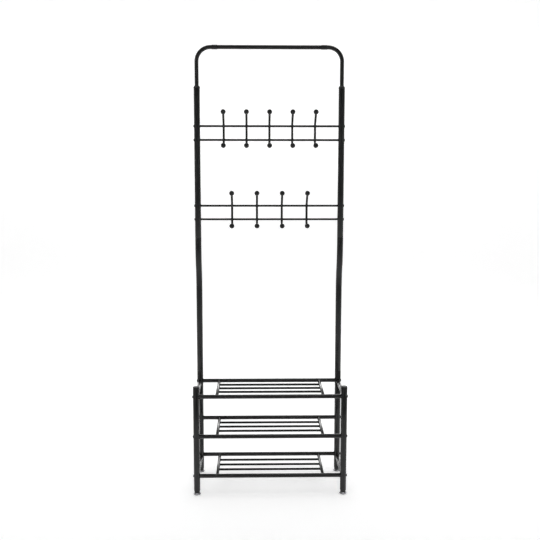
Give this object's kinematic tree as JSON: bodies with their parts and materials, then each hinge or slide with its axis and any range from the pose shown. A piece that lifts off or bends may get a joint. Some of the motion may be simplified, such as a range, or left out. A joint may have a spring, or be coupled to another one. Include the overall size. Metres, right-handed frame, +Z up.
{
  "type": "hall tree",
  "caption": "Free-standing tubular steel hall tree with a top bar for hangers, two rows of double coat hooks and slatted shoe shelves below, on levelling feet.",
  "frame": {"origin": "on the floor under the centre of the footprint", "axes": "+Z up, +X to the right of a person facing the hooks, +Y towards the back"},
  "size_m": [0.6, 0.27, 1.7421],
  "materials": {
    "powder_coat": "gloss black powder coat on steel tube",
    "coated_wire": "gloss black powder coat on steel rod",
    "hook_ball_plastic": "glossy black moulded plastic",
    "black_plastic": "satin black moulded plastic",
    "black_screws": "black oxide steel, satin",
    "insert_plastic": "grey moulded nylon",
    "foot_plating": "bright zinc and chrome plate",
    "foot_rubber": "matte black rubber"
  },
  "bodies": {
    "frame": {"front_leg_left": "powder_coat", "rear_leg_left": "powder_coat", "leg_cap_left": "black_plastic", "lower_upright_left": "powder_coat", "upper_upright_left": "powder_coat", "reducer_bush_left": "black_plastic", "top_corner_left": "powder_coat", "side_rail_top_left": "powder_coat", "side_rail_bottom_left": "powder_coat", "front_leg_right": "powder_coat", "rear_leg_right": "powder_coat", "leg_cap_right": "black_plastic", "lower_upright_right": "powder_coat", "upper_upright_right": "powder_coat", "reducer_bush_right": "black_plastic", "top_corner_right": "powder_coat", "side_rail_top_right": "powder_coat", "side_rail_bottom_right": "powder_coat", "hanging_bar": "powder_coat", "upper_hook_rail_top": "coated_wire", "upper_hook_rail_bottom": "coated_wire", "upper_hook_1": "coated_wire", "upper_hook_2": "coated_wire", "upper_hook_3": "coated_wire", "upper_hook_4": "coated_wire", "upper_hook_5": "coated_wire", "upper_hook_balls": "hook_ball_plastic", "lower_hook_rail_top": "coated_wire", "lower_hook_rail_bottom": "coated_wire", "lower_hook_1": "coated_wire", "lower_hook_2": "coated_wire", "lower_hook_3": "coated_wire", "lower_hook_4": "coated_wire", "lower_hook_balls": "hook_ball_plastic", "bottom_shelf_front_rail": "powder_coat", "bottom_shelf_rear_rail": "powder_coat", "bottom_shelf_crossbars": "powder_coat", "bottom_shelf_rods": "powder_coat", "middle_shelf_front_rail": "powder_coat", "middle_shelf_rear_rail": "powder_coat", "middle_shelf_crossbars": "powder_coat", "middle_shelf_rods": "powder_coat", "top_shelf_front_rail": "powder_coat", "top_shelf_rear_rail": "powder_coat", "top_shelf_crossbars": "powder_coat", "top_shelf_rods": "powder_coat", "shelf_rail_inserts": "insert_plastic", "shelf_screws": "black_screws", "hook_rail_screws": "black_screws", "foot_inserts": "black_plastic"},
    "sole_front_left": {"foot_sole_front_left": "foot_rubber"},
    "foot_front_left": {"foot_front_left": "foot_plating"},
    "sole_front_right": {"foot_sole_front_right": "foot_rubber"},
    "foot_front_right": {"foot_front_right": "foot_plating"},
    "sole_rear_left": {"foot_sole_rear_left": "foot_rubber"},
    "foot_rear_left": {"foot_rear_left": "foot_plating"},
    "sole_rear_right": {"foot_sole_rear_right": "foot_rubber"},
    "foot_rear_right": {"foot_rear_right": "foot_plating"}
  },
  "joints": [
    {"name": "foot_travel_front_left", "type": "slide", "parent": "frame", "child": "sole_front_left", "axis": [0, 0, -1], "range_m": [0, 0.01]},
    {"name": "foot_turn_front_left", "type": "hinge", "parent": "sole_front_left", "child": "foot_front_left", "pos_m": [-0.285, -0.12, 0.004], "axis": [0, 0, 1], "range_deg": [0, 2880]},
    {"name": "foot_travel_front_right", "type": "slide", "parent": "frame", "child": "sole_front_right", "axis": [0, 0, -1], "range_m": [0, 0.01]},
    {"name": "foot_turn_front_right", "type": "hinge", "parent": "sole_front_right", "child": "foot_front_right", "pos_m": [0.285, -0.12, 0.004], "axis": [0, 0, 1], "range_deg": [0, 2880]},
    {"name": "foot_travel_rear_left", "type": "slide", "parent": "frame", "child": "sole_rear_left", "axis": [0, 0, -1], "range_m": [0, 0.01]},
    {"name": "foot_turn_rear_left", "type": "hinge", "parent": "sole_rear_left", "child": "foot_rear_left", "pos_m": [-0.285, 0.12, 0.004], "axis": [0, 0, 1], "range_deg": [0, 2880]},
    {"name": "foot_travel_rear_right", "type": "slide", "parent": "frame", "child": "sole_rear_right", "axis": [0, 0, -1], "range_m": [0, 0.01]},
    {"name": "foot_turn_rear_right", "type": "hinge", "parent": "sole_rear_right", "child": "foot_rear_right", "pos_m": [0.285, 0.12, 0.004], "axis": [0, 0, 1], "range_deg": [0, 2880]}
  ],
  "couplings": [
    {"joint": "foot_turn_front_left", "follows": "foot_travel_front_left", "rad_per_m": 5026.5},
    {"joint": "foot_turn_front_right", "follows": "foot_travel_front_right", "rad_per_m": 5026.5},
    {"joint": "foot_turn_rear_left", "follows": "foot_travel_rear_left", "rad_per_m": 5026.5},
    {"joint": "foot_turn_rear_right", "follows": "foot_travel_rear_right", "rad_per_m": 5026.5}
  ]
}
